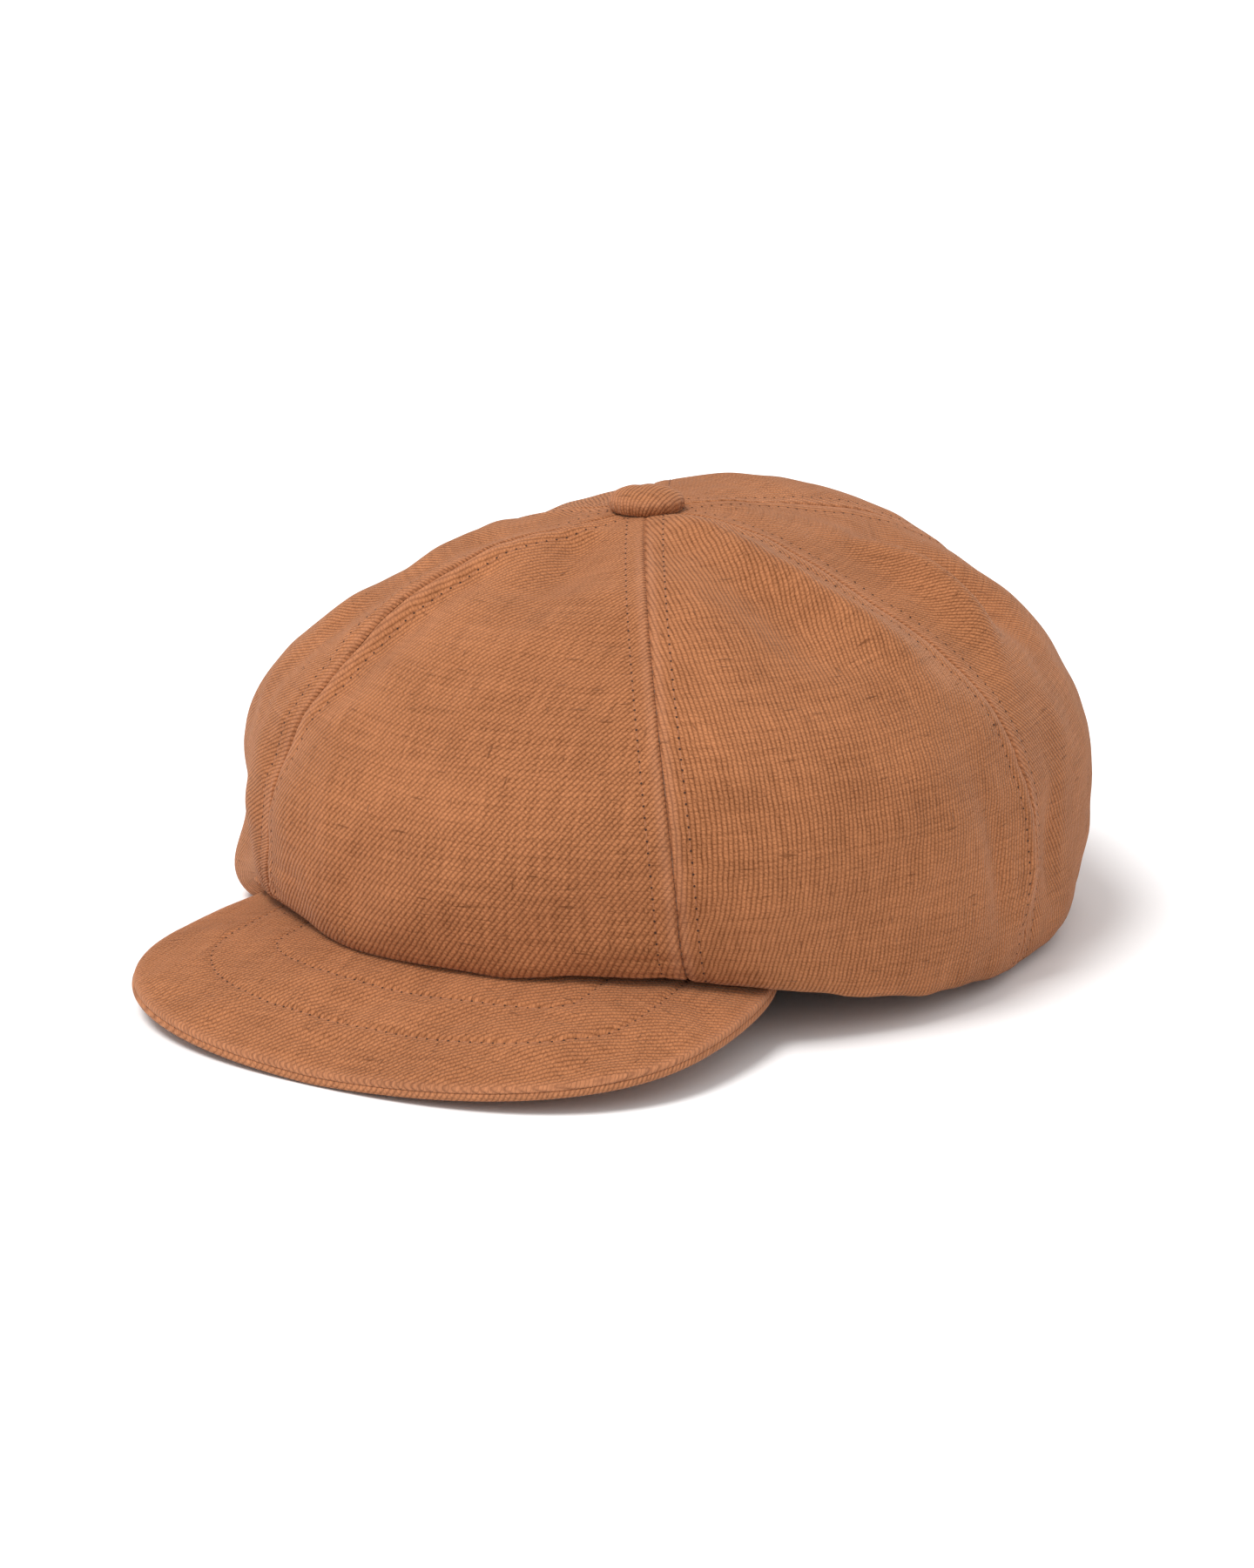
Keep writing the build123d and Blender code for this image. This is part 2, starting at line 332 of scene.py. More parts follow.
def softNoise(points, scale, seed):
    return np.array([noise.noise(Vector(p) * scale + Vector((seed, 0, 0))) for p in points])


def surfaceNormals(grid):
    # grid is rows x columns x 3, and the normal points away from the crown's middle
    down = np.gradient(grid, axis=0)
    side = np.gradient(grid, axis=1)
    normal = np.cross(side, down)
    length = np.linalg.norm(normal, axis=2, keepdims=True)
    return -normal / np.maximum(length, 1e-12)


crown = {
    "halfWidth": 124.0 * mm, "front": 120.0 * mm, "back": 152.0 * mm,
    "puff": 3.5 * mm, "puffShape": 0.9,
    "bellyFront": 38.5 * mm, "bellyBack": 57.0 * mm,
    "foldFront": 21.6 * mm, "foldBack": 2.4 * mm, "foldOverBrim": 2.2 * mm, "foldReach": 0.78,
    "shoulder": 1.85, "rise": 1.0, "foldRound": 2.7,
    "seamLift": 6.8 * mm, "clearance": 0.4 * mm, "foldStrength": 1.35, "eyelet": 2.2 * mm, "drift": 8.0,
    "cloth": 1.2 * mm,
    "bandTilt": 0.085,
    "rowsTop": 116, "rowsFold": 26, "rowsHem": 12,
    "seamDepth": 0.70, "seamWidth": 0.50,           # these and the next are millimetres
    "allowanceRise": 0.16, "allowanceAt": 2.6, "allowanceWidth": 2.4,
    "stitchAt": 5.4, "stitchDepth": 0.16, "stitchWidth": 0.9,
    "puckerHeight": 0.50, "puckerAt": 6.0, "puckerReach": 13.0,
    # painted highlight along the ridge beside each seam: place and width in millimetres, and amount
    "highlightAt": 1.6, "highlightWidth": 1.3, "highlightAmount": 0.22,
    "broadHeight": 2.6, "fineHeight": 0.70,
}
panels = {                                        # middle angle and lean of the ribs, degrees
    "front": (0, 57), "left_front": (60, 78), "left_back": (120, 118),
    "back": (180, 50), "right_back": (240, 68), "right_front": (300, 38),
}
# Folds: places (degrees from the front, share of the way down), height and width in millimetres
folds = [
    {"at": [(60, 0.18), (70, 0.32), (77, 0.46), (80, 0.62)], "height": 4.2, "width": 7.5},
    {"at": [(50, 0.24), (60, 0.42), (66, 0.60)], "height": -2.2, "width": 9.0},
    {"at": [(122, 0.30), (114, 0.42), (107, 0.54), (100, 0.68)], "height": 4.4, "width": 8.0},
    {"at": [(132, 0.38), (122, 0.54), (112, 0.70)], "height": -3.8, "width": 10.0},
    {"at": [(-14, 0.12), (-1, 0.22), (3, 0.36)], "height": -3.4, "width": 10.0},
    {"at": [(58, 0.06), (64, 0.14), (70, 0.24)], "height": 2.2, "width": 6.0},
    {"at": [(-30, 0.14), (-31, 0.32), (-32, 0.52), (-33, 0.74)], "height": 2.8, "width": 7.5},
    {"at": [(-22, 0.26), (-24, 0.50), (-25, 0.80)], "height": -1.8, "width": 8.0},
    {"at": [(-45, 0.30), (-46, 0.50), (-46, 0.72)], "height": -2.4, "width": 9.0},
    {"at": [(78, 0.80), (80, 1.05), (81, 1.40)], "height": -2.4, "width": 6.0},
    {"at": [(90, 0.84), (89, 1.10), (88, 1.50)], "height": 2.2, "width": 6.0},
    {"at": [(100, 0.80), (99, 1.10), (99, 1.45)], "height": -2.2, "width": 7.0},
    {"at": [(6, 0.67), (18, 0.67)], "height": -0.45, "width": 1.5},
    {"at": [(-28, 0.70), (-31, 0.95), (-30, 1.25)], "height": -1.6, "width": 7.0},
    {"at": [(205, 0.35), (214, 0.55), (222, 0.75)], "height": -2.6, "width": 9.0},
    {"at": [(170, 0.55), (176, 0.80), (172, 1.05)], "height": 2.2, "width": 9.0},
    {"at": [(185, 0.70), (189, 0.95), (186, 1.25)], "height": -2.0, "width": 8.0},
    {"at": [(255, 0.40), (262, 0.60), (259, 0.82)], "height": 2.6, "width": 8.0},
    {"at": [(240, 0.85), (243, 1.10), (241, 1.40)], "height": -2.2, "width": 7.0},
]
# Broad rises and hollows: place, height and reach in millimetres
swells = [
    {"at": (-80, 0.50), "height": -10.0, "reach": 26.0},
    {"at": (-64, 0.78), "height": -0.6, "reach": 12.0},
    {"at": (-51, 1.12), "height": -6.5, "reach": 26.0},
    {"at": (-65, 1.78), "height": 7.5, "reach": 14.0},     # hangs as a pointed lobe, low on the right front
    {"at": (176, 0.34), "height": 7.4, "reach": 40.0},
    {"at": (-105, 0.34), "height": -2.5, "reach": 30.0},
    {"at": (144, 0.60), "height": -4.5, "reach": 20.0},
    {"at": (150, 0.60), "height": 2.2, "reach": 30.0},
    {"at": (118, 1.20), "height": 1.8, "reach": 25.0},
]
# How far the lowest fold hangs below the plain form, by degrees from the front
droopAt = [0, 17, 36, 48, 60, 75, 105, 130, 150, 180]
droopBy = [0.6, 0.8, 1.4, 3.6, 7.4, 8.4, 7.0, 3.4, 0.9, 0.0]


def eggRadius(theta, c):
    length = np.where(np.cos(theta) > 0, c["front"], c["back"])
    return 1 / np.sqrt((np.sin(theta) / c["halfWidth"]) ** 2 + (np.cos(theta) / length) ** 2)


def ovalRadius(theta, halfX, halfY, offsetY):
    qa = (np.sin(theta) / halfX) ** 2 + (np.cos(theta) / halfY) ** 2
    qb = 2 * np.cos(theta) * offsetY / halfY**2
    qc = (offsetY / halfY) ** 2 - 1
    return (-qb + np.sqrt(qb**2 - 4 * qa * qc)) / (2 * qa)


def bandEdge(y):
    return crown["bandTilt"] * (bandOutHigh.y - y)


def seamDrift(theta, u, c):
    # low down the cloth has settled forward of the side seams, so they swing back
    turn = (np.degrees(theta) + 180) % 360 - 180
    share = np.interp(np.abs(turn), [0, 30, 90, 150, 180], [0, 1, 1, 0, 0]) * np.sign(turn)
    reach = 0.78 * np.clip(u, 0, 1) + 0.22 * np.clip(u - 1, 0, 1)
    return np.radians(c["drift"]) * reach * share


def crownBase(theta, u, c, puff):
    # u runs from 0 at the button to 1 at the widest line, 2 at the fold and 3 at the band
    puffed = puff * np.abs(np.cos(3 * theta)) ** c["puffShape"]
    theta = theta + seamDrift(theta, u, c)
    back = (1 - np.cos(theta)) / 2
    bellyZ = c["bellyFront"] + (c["bellyBack"] - c["bellyFront"]) * back
    foldZ = c["foldFront"] + (c["foldBack"] - c["foldFront"]) * back
    foldZ = foldZ + np.where(np.cos(theta) > 0, c["foldOverBrim"] * np.sin(2 * theta) ** 2, 0)
    turn = np.abs((np.degrees(theta) + 180) % 360 - 180)
    foldZ = foldZ - np.interp(turn, droopAt, droopBy) * mm
    belly = eggRadius(theta, c) + puffed
    halfX = bandOutHigh.x + 0.4 * mm
    halfY = (bandOutHigh.y - bandOutLow.y) / 2 + 0.4 * mm
    foot = ovalRadius(theta, halfX, halfY, bandCentreY - axisY)
    fold = foot + c["foldReach"] * (belly - foot)
    footZ = bandEdge(axisY - foot * np.cos(theta)) + c["seamLift"]
    turn = np.clip(u, 0, 1) * math.pi / 2
    rTop = c["eyelet"] + (belly - c["eyelet"]) * np.sin(turn) ** (2 / c["shoulder"])
    zTop = bellyZ + (buttonLow.z - bellyZ) * np.abs(np.cos(turn)) ** c["rise"]
    under = np.clip(u - 1, 0, 1) * math.pi / 2
    power = 2 / c["foldRound"]
    rFold = fold + (belly - fold) * np.abs(np.cos(under)) ** power
    zFold = bellyZ - (bellyZ - foldZ) * np.abs(np.sin(under)) ** power
    share = np.clip(u - 2, 0, 1)
    rHem = fold + (foot - fold) * share
    zHem = foldZ + (footZ - foldZ) * share**2
    r = np.where(u <= 1, rTop, np.where(u <= 2, rFold, rHem))
    z = np.where(u <= 1, zTop, np.where(u <= 2, zFold, zHem))
    return np.stack([r * np.sin(theta), axisY - r * np.cos(theta), z], -1)


def foldDistance(points, line):
    # distance to a line of places, and how far along it the nearest point is
    best = np.full(len(points), 1e9)
    where = np.zeros(len(points))
    for k in range(len(line) - 1):
        a, b = line[k], line[k + 1]
        step = b - a
        t = np.clip(((points - a) @ step) / (step @ step), 0, 1)
        d = np.linalg.norm(points - a - t[:, None] * step, axis=1)
        nearer = d < best
        best = np.where(nearer, d, best)
        where = np.where(nearer, (k + t) / (len(line) - 1), where)
    return best, where


def crownPlaces(spots, c):
    theta = np.radians([s[0] for s in spots])
    u = np.array([s[1] for s in spots], float)
    return crownBase(theta, u, c, c["puff"])


def crownOffset(points, theta, u, seamDistance, c):
    # how far the cloth stands off the plain form, in millimetres
    d = seamDistance / mm
    fade = np.clip((u - 0.03) / 0.10, 0, 1) * np.clip((2.9 - u) / 0.5, 0, 1)
    off = -c["seamDepth"] * np.exp(-((d / c["seamWidth"]) ** 2)) * (0.35 + 0.65 * fade)
    off += c["allowanceRise"] * np.exp(-(((d - c["allowanceAt"]) / c["allowanceWidth"]) ** 4)) * fade
    off -= c["stitchDepth"] * np.exp(-(((d - c["stitchAt"]) / c["stitchWidth"]) ** 2)) * fade
    side = np.stack([theta * 3.2, u * 17.0, np.sign(np.sin(3 * theta + 1.5)) * 5.0], 1)
    pucker = softNoise(side, 1.0, 4.0)
    off += c["puckerHeight"] * pucker * np.exp(-(((d - c["puckerAt"]) / c["puckerReach"]) ** 2)) * fade
    broad = softNoise(points, 17.0, 11.0) + 0.5 * softNoise(points, 36.0, 3.0)
    off += c["broadHeight"] * broad * fade
    off += c["fineHeight"] * softNoise(points, 85.0, 8.0) * fade
    for fold in folds:
        line = crownPlaces(fold["at"], c)
        away, along = foldDistance(points, line)
        taper = np.sin(np.clip(along, 0.04, 0.96) * math.pi) ** 0.7
        off += c["foldStrength"] * fold["height"] * np.exp(-((away / mm / fold["width"]) ** 2)) * taper
    for swell in swells:
        middle = crownPlaces([swell["at"]], c)[0]
        away = np.linalg.norm(points - middle, axis=1) / mm
        off += swell["height"] * np.exp(-((away / swell["reach"]) ** 2))
    return off


def columnShares():
    # columns crowd towards the seams, where the stitching is
    edge = [0, 0.3, 0.6, 0.95, 1.4, 2.1, 3.1, 4.1, 4.7, 5.2, 5.7, 6.3, 7.4, 9.0]
    span = 131.0
    middle = np.linspace(10.8, span - 10.8, 59)
    places = np.concatenate([edge, middle, [span - e for e in reversed(edge)]])
    return places / span


def makePanel(name, middle, ribAngle, seed):
    c = crown
    shares = columnShares()
    rows = np.concatenate([
        np.linspace(0, 1, c["rowsTop"], endpoint=False),
        1 + np.linspace(0, 1, c["rowsFold"], endpoint=False),
        2 + np.linspace(0, 1, c["rowsHem"]),
    ])
    theta, u = np.meshgrid(math.radians(middle - 30) + math.radians(60) * shares, rows)
    plain = crownBase(theta, u, c, 0.0)
    base = crownBase(theta, u, c, c["puff"])
    normals = surfaceNormals(plain)
    radius = np.hypot(base[..., 0], base[..., 1] - axisY)
    nearSeam = np.minimum(shares, 1 - shares) * math.radians(60)
    seamDistance = radius * nearSeam[None, :]
    flat = base.reshape(-1, 3)
    off = crownOffset(flat, theta.ravel(), u.ravel(), seamDistance.ravel(), c)
    shaped = flat + normals.reshape(-1, 3) * off[:, None] * mm
    shaped[:, 2] = np.maximum(shaped[:, 2], c["clearance"])
    faces = gridFaces(len(rows), len(shares))
    piece = newPiece("crownPanel_" + name, shaped, [tuple(reversed(f)) for f in faces], twillCloth)
    # flat cloth: out from the panel's middle line, and down its length
    steps = np.linalg.norm(np.diff(base[:, len(shares) // 2], axis=0), axis=1)
    down = np.concatenate([[0], np.cumsum(steps)])
    acrossCloth = radius * (theta - math.radians(middle))
    alongCloth = np.repeat(-down[:, None], len(shares), 1)
    d = seamDistance / mm
    # painted highlight on the ridge beside each seam
    ridgeHighlight = c["highlightAmount"] * np.exp(-(((d - c["highlightAt"]) / c["highlightWidth"]) ** 2)) * np.clip((u - 0.05) / 0.2, 0, 1)
    writeCloth(piece, acrossCloth, alongCloth, ribAngle, ridgeHighlight, seed)
    thicken(piece, c["cloth"])
    finishPiece(piece, "twill", "crown_panel_" + name)
    declareSheet(piece, radius.max() * math.radians(60), down[-1], "stretched", ["headband_cloth"])
    return piece


panelPieces = {}
for number, (name, (middle, ribAngle)) in enumerate(panels.items()):
    panelPieces[name] = makePanel(name, middle, ribAngle, number + 1)
print("crown panels made")


def treeOf(piece):
    mesh = piece.data
    corners = [v.co.copy() for v in mesh.vertices]
    return BVHTree.FromPolygons(corners, [tuple(p.vertices) for p in mesh.polygons])


stitch = {
    "length": 2.65 * mm, "gap": 0.65 * mm, "radius": 0.18 * mm, "sink": 0.13 * mm, "sides": 6,
    "hole": 0.34 * mm, "holeSides": 7, "holeRise": 0.12 * mm, "holeTop": 0.22 * mm,
}


holes = ([], [])                                      # corners and faces of every needle hole's dark disc of painted shade


def stitchRow(points, normals, verts, faces, s, pierced=True):
    # short rounded threads along a line, with their ends drawn into the cloth
    points = np.asarray(points, float)
    normals = np.asarray(normals, float)
    along = np.concatenate([[0], np.cumsum(np.linalg.norm(np.diff(points, axis=0), axis=1))])
    pitch = s["length"] + s["gap"]
    profile = [(0.0, 0.25, -1.3), (0.10, 0.8, -0.2), (0.35, 1.0, 0.25), (0.65, 1.0, 0.25),
               (0.90, 0.8, -0.2), (1.0, 0.25, -1.3)]
    for n in range(int(along[-1] / pitch)):
        start = n * pitch
        if pierced:                                   # a dark disc of painted shade where the needle's hole is, before the stitch
            middle = [np.interp(start - s["gap"] / 2, along, points[:, k]) for k in range(3)]
            up = np.array([np.interp(start, along, normals[:, k]) for k in range(3)])
            side = np.cross(up, [0.31, 0.52, 0.79])
            side /= max(np.linalg.norm(side), 1e-9)
            other = np.cross(up, side)
            firstHole = len(holes[0])
            holes[0].append(middle + up * s["holeTop"])
            for k in range(s["holeSides"]):
                turn = 2 * math.pi * k / s["holeSides"]
                spoke = side * math.cos(turn) + other * math.sin(turn)
                holes[0].append(middle + spoke * s["hole"] + up * s["holeRise"])
                holes[1].append((firstHole, firstHole + 1 + k, firstHole + 1 + (k + 1) % s["holeSides"]))
        first = len(verts)
        for share, width, lift in profile:
            at = start + share * s["length"]
            middle = np.array([np.interp(at, along, points[:, k]) for k in range(3)])
            ahead = np.array([np.interp(at + 0.3 * mm, along, points[:, k]) for k in range(3)])
            up = np.array([np.interp(at, along, normals[:, k]) for k in range(3)])
            way = ahead - middle
            way /= max(np.linalg.norm(way), 1e-9)
            side = np.cross(way, up)
            side /= max(np.linalg.norm(side), 1e-9)
            middle = middle + up * (lift * s["radius"] - s["sink"])
            for k in range(s["sides"]):
                turn = 2 * math.pi * k / s["sides"]
                spoke = side * math.cos(turn) + up * math.sin(turn)
                verts.append(middle + spoke * s["radius"] * width)
        for i in range(len(profile) - 1):
            for k in range(s["sides"]):
                m = (k + 1) % s["sides"]
                a = first + i * s["sides"]
                b = a + s["sides"]
                faces.append((a + k, a + m, b + m, b + k))
        faces.append(tuple(first + k for k in reversed(range(s["sides"]))))
        last = first + (len(profile) - 1) * s["sides"]
        faces.append(tuple(last + k for k in range(s["sides"])))


def crownStitches():
    verts, faces = [], []
    trees = {name: treeOf(piece) for name, piece in panelPieces.items()}
    names = list(panels)
    for seam in range(6):
        seamAngle = 30 + 60 * seam
        for side, name in ((-1, names[seam]), (1, names[(seam + 1) % 6])):
            places, ups = [], []
            for u in np.concatenate([np.linspace(0.02, 1, 240), np.linspace(1.01, 2.3, 70)]):
                theta = math.radians(seamAngle)
                r = float(np.hypot(*(crownBase(np.array(theta), np.array(u), crown, 0)[:2] - (0, axisY))))
                turn = crown["stitchAt"] * mm / r
                if turn > math.radians(27) or r < 11.5 * mm:
                    continue
                angle = np.array(theta + side * turn)
                here = crownBase(angle, np.array(u), crown, 0)
                below = crownBase(angle, np.array(u + 0.01), crown, 0)
                beside = crownBase(angle + 0.01, np.array(u), crown, 0)
                normal = np.cross(below - here, beside - here)
                normal /= np.linalg.norm(normal)
                outward = here - np.array([0, axisY, 50 * mm])
                if normal @ outward < 0:
                    normal = -normal
                start = Vector(here + normal * 15 * mm)
                hit, hitNormal, _, _ = trees[name].ray_cast(start, Vector(-normal), 40 * mm)
                if hit is None:
                    continue
                if hitNormal @ Vector(normal) < 0:
                    hitNormal = -hitNormal
                places.append(tuple(hit))
                ups.append(tuple(hitNormal))
            if len(places) > 10:
                stitchRow(places, ups, verts, faces, stitch)
    piece = newPiece("crownTopstitch", verts, faces, camelThread)
    finishPiece(piece, "thread")


crownStitches()
print("crown stitches made")


brim = {
    "sweep": math.radians(57.0), "side": 21.2 * mm, "corner": 52.0 * mm, "depth": 63.0 * mm,
    "tail": 5.0 * mm, "square": 2.4, "frontShare": 0.6, "liftShape": 1.05, "seamLift": 3.8 * mm,
    "thick": 3.8 * mm, "arch": 0.5 * mm,
    "rows": (23.0 * mm, 42.0 * mm), "channel": 0.42 * mm, "channelWidth": 1.0 * mm,
    "slices": 260, "steps": 84, "ripple": 0.55 * mm, "inset": 4.0 * mm, "roll": 1.3 * mm,
    "upperCut": (0.205, 0.125), "lowerCut": (0.198, 0.120),
}


def brimSeam(u, b):
    turn = b["sweep"] * u
    halfX = bandOutHigh.x + 0.1 * mm
    halfY = (bandOutHigh.y - bandOutLow.y) / 2 + 0.1 * mm
    x = halfX * np.sin(turn)
    y = bandCentreY - halfY * np.cos(turn)
    return np.stack([x, y, bandEdge(y) + b["seamLift"]], -1)


def brimEdge(u, b):
    end = brimSeam(np.array(1.0), b)
    widestX = end[0] + b["side"]
    widestY = end[1] - b["corner"]
    share = np.abs(u)
    turn = np.clip(share / b["frontShare"], 0, 1) * math.pi / 2
    power = 2 / b["square"]
    sideFront = widestX * np.sin(turn) ** power
    yFront = widestY - b["depth"] * np.abs(np.cos(turn)) ** power
    tail = np.clip((share - b["frontShare"]) / (1 - b["frontShare"]), 0, 1) * math.pi / 2
    tailX = end[0] + b["tail"]
    sideBack = tailX + (widestX - tailX) * np.cos(tail)
    yBack = widestY + (end[1] - widestY) * np.sin(tail)
    ahead = share <= b["frontShare"]
    x = np.where(ahead, sideFront, sideBack) * np.sign(u + 1e-12)
    y = np.where(ahead, yFront, yBack)
    tipZ = b["thick"] / 2
    z = tipZ + (end[2] - tipZ) * share ** b["liftShape"]
    return np.stack([x, y, z], -1)


def brimDistance(points, b):
    outline = brimEdge(np.linspace(-1, 1, 700), b)[:, :2]
    best = np.full(len(points), 1e9)
    for k in range(len(outline) - 1):
        a, step = outline[k], outline[k + 1] - outline[k]
        t = np.clip(((points - a) @ step) / max(step @ step, 1e-15), 0, 1)
        best = np.minimum(best, np.hypot(*(points - a - t[:, None] * step).T))
    return best


def brimSheet(name, profile, ribAngle, seed, b, rowsShown):
    # profile lists (inset from the edge, height, share of the slice) from the band outwards
    us = np.linspace(-1, 1, b["slices"])
    inner = brimSeam(us, b)
    outer = brimEdge(us, b)
    inward = inner - outer
    width = np.linalg.norm(inward, axis=1)
    inward = inward / width[:, None]
    verts = np.zeros((len(us), len(profile), 3))
    for j, (inset, height, share) in enumerate(profile):
        reach = np.minimum(inset, width * 0.45) + share * (width - np.minimum(inset, width * 0.45))
        arch = b["arch"] * math.sin(math.pi * min(max(share, 0), 1)) if rowsShown else 0
        verts[:, j] = outer + inward * reach[:, None]
        verts[:, j, 2] += height + arch
    flat = verts.reshape(-1, 3)
    away = brimDistance(flat[:, :2], b)
    ridgeHighlight = np.zeros(len(flat))
    if rowsShown:
        for row in b["rows"]:
            flat[:, 2] -= b["channel"] * np.exp(-(((away - row) / b["channelWidth"]) ** 2))
        ripple = softNoise(flat, 60.0, 21.0) + 0.5 * softNoise(flat, 140.0, 2.0)
        flat[:, 2] += b["ripple"] * ripple * np.clip(away / (6 * mm), 0, 1)
        # painted highlight along the brim's top edge
        ridgeHighlight = 0.28 * np.exp(-((away / (2.2 * mm)) ** 2))
    else:
        # painted highlight along the brim's lower edge
        ridgeHighlight = 0.18 * np.exp(-((away / (1.5 * mm)) ** 2))
    flat[:, 2] = np.maximum(flat[:, 2], 0.1 * mm)
    piece = newPiece(name, flat, gridFaces(len(us), len(profile)), shadedBrimTwill)
    across = flat[:, 0] + flat[:, 2] * 0.4
    writeCloth(piece, across, flat[:, 1] * 1.03 - flat[:, 2] * 1.2, ribAngle, ridgeHighlight, seed)
    return piece


def makeBrim(b):
    half = b["thick"] / 2
    top = [(b["inset"], half, s) for s in np.linspace(1, 0, b["steps"])]
    roll = b["roll"]
    for k in range(1, 7):
        turn = math.radians(90) * k / 6
        top.append((roll * (1 - math.sin(turn)) + 0.5 * mm, half - roll * (1 - math.cos(turn)), 0.0))
    top.append((1.1 * mm, half - roll - 0.3 * mm, 0.0))
    upper = brimSheet("brimUpper", top, 40, 8, b, True)
    low = [(1.2 * mm, half - roll - 0.2 * mm, 0.0)]
    wall = half - roll + 0.1 * mm
    for k in range(0, 13):
        turn = math.radians(180) * k / 12
        low.append((1.6 * mm - 1.6 * mm * math.sin(turn),
                    (wall - half) / 2 + (wall + half) / 2 * math.cos(turn), 0.0))
    low += [(3.0 * mm, -half, s) for s in np.linspace(0.02, 1, 40)]
    lower = brimSheet("brimLower", low, -40, 9, b, False)
    finishPiece(upper, "twill", "brim_upper_cloth")
    finishPiece(lower, "twill", "brim_lower_cloth")
    declareSheet(upper, *b["upperCut"], "stretched", ["brim_board"])
    declareSheet(lower, *b["lowerCut"], "stretched", ["brim_board"])
    return upper


brimUpper = makeBrim(brim)


def brimStitches(b):
    tree = treeOf(brimUpper)
    verts, faces = [], []
    outline = brimEdge(np.linspace(-0.97, 0.97, 500), b)[:, :2]
    way = np.gradient(outline, axis=0)
    way /= np.linalg.norm(way, axis=1)[:, None]
    inward = np.stack([-way[:, 1], way[:, 0]], 1)
    for row in b["rows"]:
        line, ups = [], []
        for p in outline + inward * row:
            bandHalfY = bandOutHigh.y - bandCentreY
            inBand = (p[0] / bandOutHigh.x) ** 2 + ((p[1] - bandCentreY) / bandHalfY) ** 2
            hit, normal, _, _ = tree.ray_cast(Vector((p[0], p[1], 0.1)), Vector((0, 0, -1)), 0.2)
            if hit is None or inBand < 1.02:
                continue
            line.append(tuple(hit))
            ups.append(tuple(normal if normal.z > 0 else -normal))
        if len(line) > 20:
            stitchRow(line, ups, verts, faces, stitch)
    piece = newPiece("brimTopstitch", verts, faces, camelThread)
    finishPiece(piece, "thread")


brimStitches(brim)
finishPiece(newPiece("needleHoleShadeDiscs", holes[0], holes[1], needleHoleShade, False), "thread")
print("brim made")


band = {"height": 32.0 * mm, "turns": 360, "rows": 26}


def ringSheet(name, halfX, halfY, thickness, low, high, material, slot, nodes, wave, seed):
    turns, rows = band["turns"], band["rows"]
    theta = np.linspace(0, 2 * math.pi, turns, endpoint=False)
    verts = np.zeros((rows, turns, 3))
    for i, share in enumerate(np.linspace(0, 1, rows)):
        y = bandCentreY - halfY * np.cos(theta)
        z = bandEdge(y) + low + (high - low) * share
        verts[i] = np.stack([halfX * np.sin(theta), y + crown["bandTilt"] * (z - bandEdge(y)), z], 1)
    flat = verts.reshape(-1, 3)
    middle = np.array([0, bandCentreY, 0])
    out = flat - middle
    out[:, 2] = 0
    out /= np.linalg.norm(out, axis=1)[:, None]
    flat = flat + out * (softNoise(flat, 38.0, seed) * wave)[:, None]
    piece = newPiece(name, flat, gridFaces(rows, turns, True), material)
    around = np.tile(theta * (halfX + halfY) / 2, rows)
    up = np.repeat(np.linspace(low, high, rows), turns)
    writeCloth(piece, around, up, 45, np.zeros(len(flat)), seed)
    made = piece.modifiers.new("thickness", "SOLIDIFY")
    made.thickness = thickness
    made.offset = 0.0
    finishPiece(piece, slot, *nodes)
    girth = 2 * math.pi * (halfX + halfY) / 2
    declareSheet(piece, girth, (high - low) * 1.01, "stretched", ["headband_stiffener"])


sweatMiddleX = bandHigh.x - 0.4 * mm
sweatMiddleY = (bandHigh.y - bandLow.y) / 2 - 0.4 * mm
clothMiddleX = bandOutHigh.x - 0.5 * mm
clothMiddleY = (bandOutHigh.y - bandOutLow.y) / 2 - 0.5 * mm
ringSheet("sweatbandCotton", sweatMiddleX, sweatMiddleY, 0.8 * mm, 0.5 * mm, band["height"],
          navyCotton, "sweatband", ["sweatband"], 0.10 * mm, 14)
ringSheet("headbandCloth", clothMiddleX, clothMiddleY, 1.0 * mm, 0.3 * mm, band["height"],
          twillCloth, "twill", ["headband_cloth"], 0.06 * mm, 15)


def bandStitches():
    verts, faces = [], []
    theta = np.linspace(0, 2 * math.pi, 900)
    for height in (3.0 * mm, band["height"] - 3.0 * mm):
        y = bandCentreY - (sweatMiddleY - 0.45 * mm) * np.cos(theta)
        x = (sweatMiddleX - 0.45 * mm) * np.sin(theta)
        z = bandEdge(y) + height
        line = np.stack([x, y + crown["bandTilt"] * height, z], 1)
        ups = np.stack([-x, bandCentreY - y, np.zeros(len(x))], 1)
        ups /= np.linalg.norm(ups, axis=1)[:, None]
        stitchRow(line, ups, verts, faces, dict(stitch, radius=0.26 * mm), pierced=False)
    piece = newPiece("sweatbandStitch", verts, faces, navyThread)
    finishPiece(piece, "thread")


bandStitches()
print("headband made")


tape = {"width": 12.0 * mm, "depth": 2.35 * mm, "thick": 0.5 * mm, "start": 17.0 * mm, "last": 2.88}
tapeNodes = {
    30: "front_left", 90: "left", 150: "back_left", 210: "back_right", 270: "right", 330: "front_right",
}


